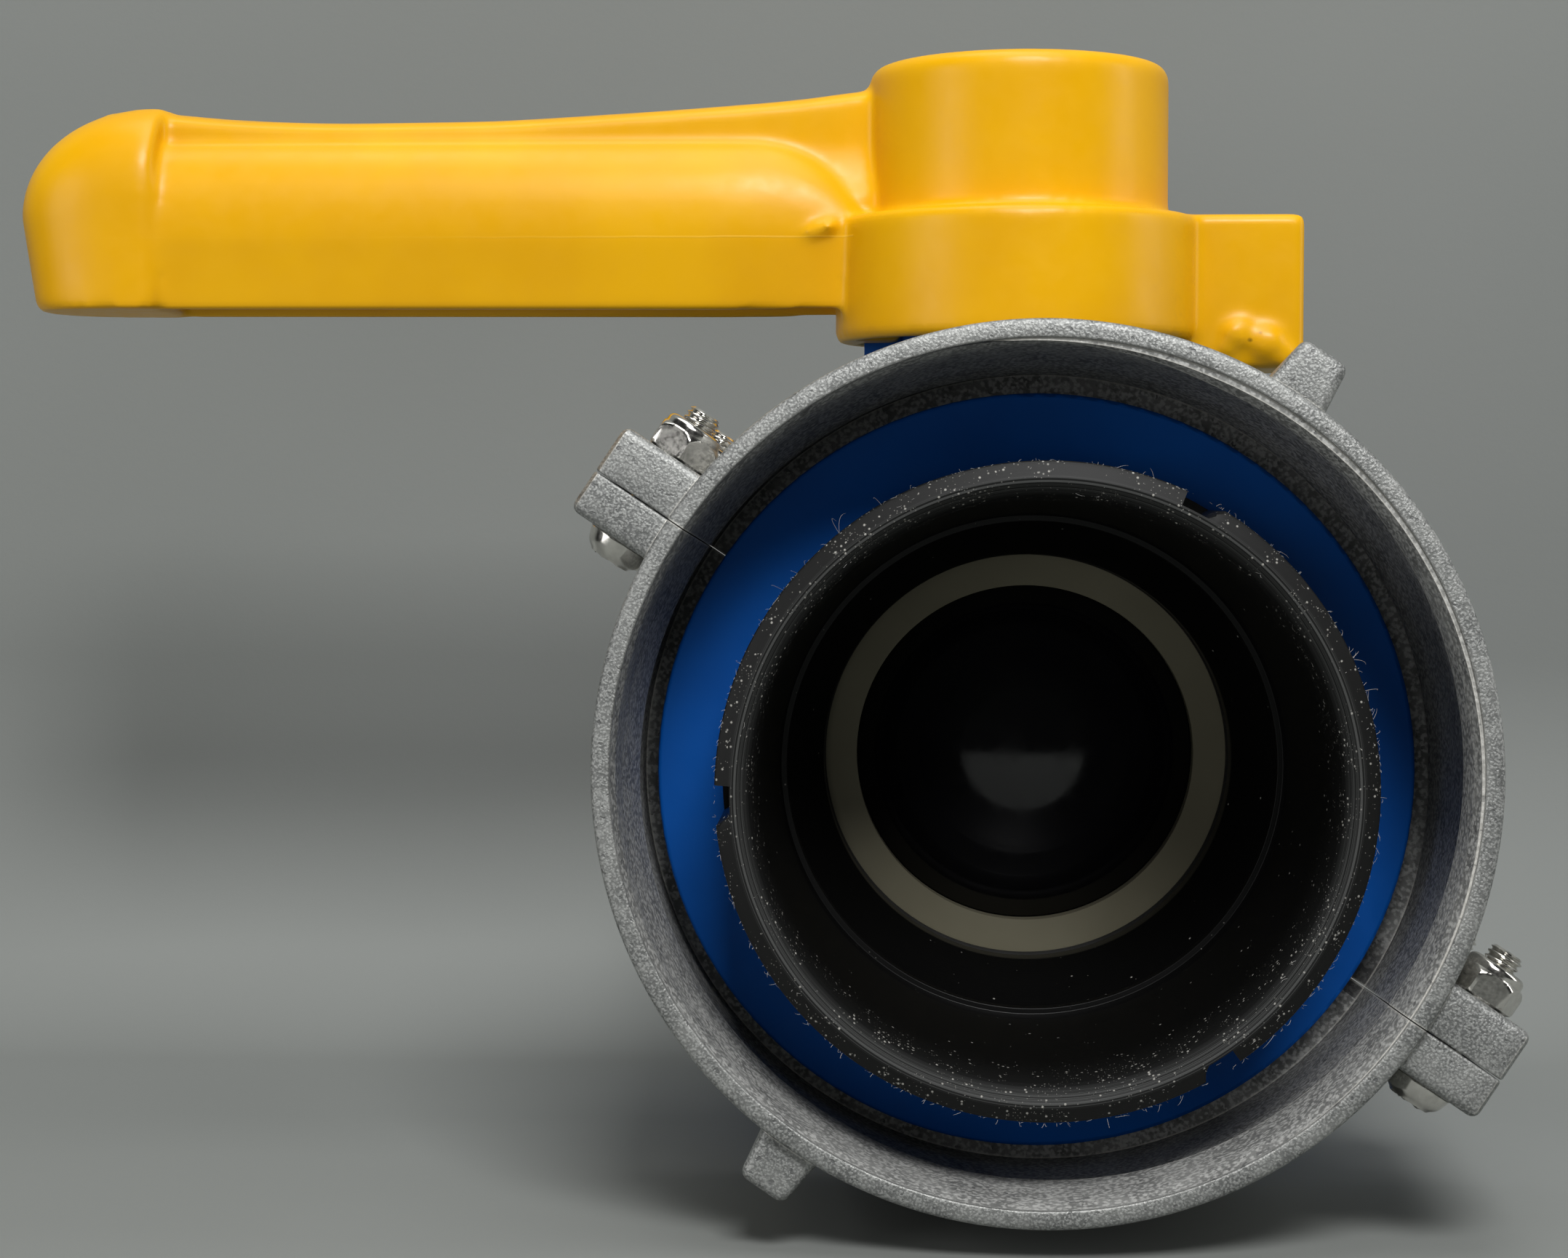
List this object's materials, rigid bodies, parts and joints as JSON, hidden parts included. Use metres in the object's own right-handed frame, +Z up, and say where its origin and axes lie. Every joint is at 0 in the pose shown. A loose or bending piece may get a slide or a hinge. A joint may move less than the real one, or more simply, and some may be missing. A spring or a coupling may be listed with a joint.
{
  "type": "ball valve",
  "caption": "Full-bore plastic ball valve with a quarter-turn lever, a spanner-tightened nose tube, a loose split union nut clamped by screws, a threaded outlet and a mounting foot.",
  "frame": {"origin": "centre of the foot's flat face, on the stem axis", "axes": "+X to the right of the nose and away from the closed lever, +Y along the waterway from the nose to the outlet, +Z up the stem"},
  "size_m": [0.2308, 0.1625, 0.1731],
  "materials": {
    "blue_plastic": "smooth moulded polypropylene, saturated blue",
    "black_plastic": "turned and moulded black plastic, dusty",
    "ball_black": "polished black plastic",
    "seat_ivory": "skived fluoropolymer, ivory, matte",
    "black_rubber": "moulded seal rubber",
    "yellow_plastic": "moulded yellow plastic, semi-gloss",
    "cast_alloy": "rough die-cast alloy, unpolished",
    "plated_steel": "bright plated steel",
    "nylon": "natural nylon",
    "brass": "machined brass"
  },
  "bodies": {
    "valve": {"valve_body": "blue_plastic", "foot_inserts": "brass", "nose_tube": "black_plastic", "nose_o_ring": "black_rubber", "front_seat": "seat_ivory", "rear_seat": "seat_ivory", "front_seat_seal": "black_rubber", "rear_seat_seal": "black_rubber"},
    "lever": {"handle": "yellow_plastic", "handle_washer": "plated_steel", "handle_screw": "plated_steel", "stem": "black_plastic", "stem_o_rings": "black_rubber", "stem_thrust_washer": "seat_ivory", "ball": "ball_black"},
    "union_nut": {"upper_nut_half": "cast_alloy", "lower_nut_half": "cast_alloy", "clamp_screws": "plated_steel", "lock_nuts": "plated_steel", "lock_nut_inserts": "nylon"}
  },
  "joints": [
    {"name": "handle_turn", "type": "hinge", "parent": "valve", "child": "lever", "pos_m": [0, 0, 0.063], "axis": [0, 0, 1], "range_deg": [0, 90]},
    {"name": "nut_swivel", "type": "hinge", "parent": "valve", "child": "union_nut", "pos_m": [0.0007, -0.049, 0.063], "axis": [-0.0278, -0.9971, 0.0715], "continuous": true}
  ]
}
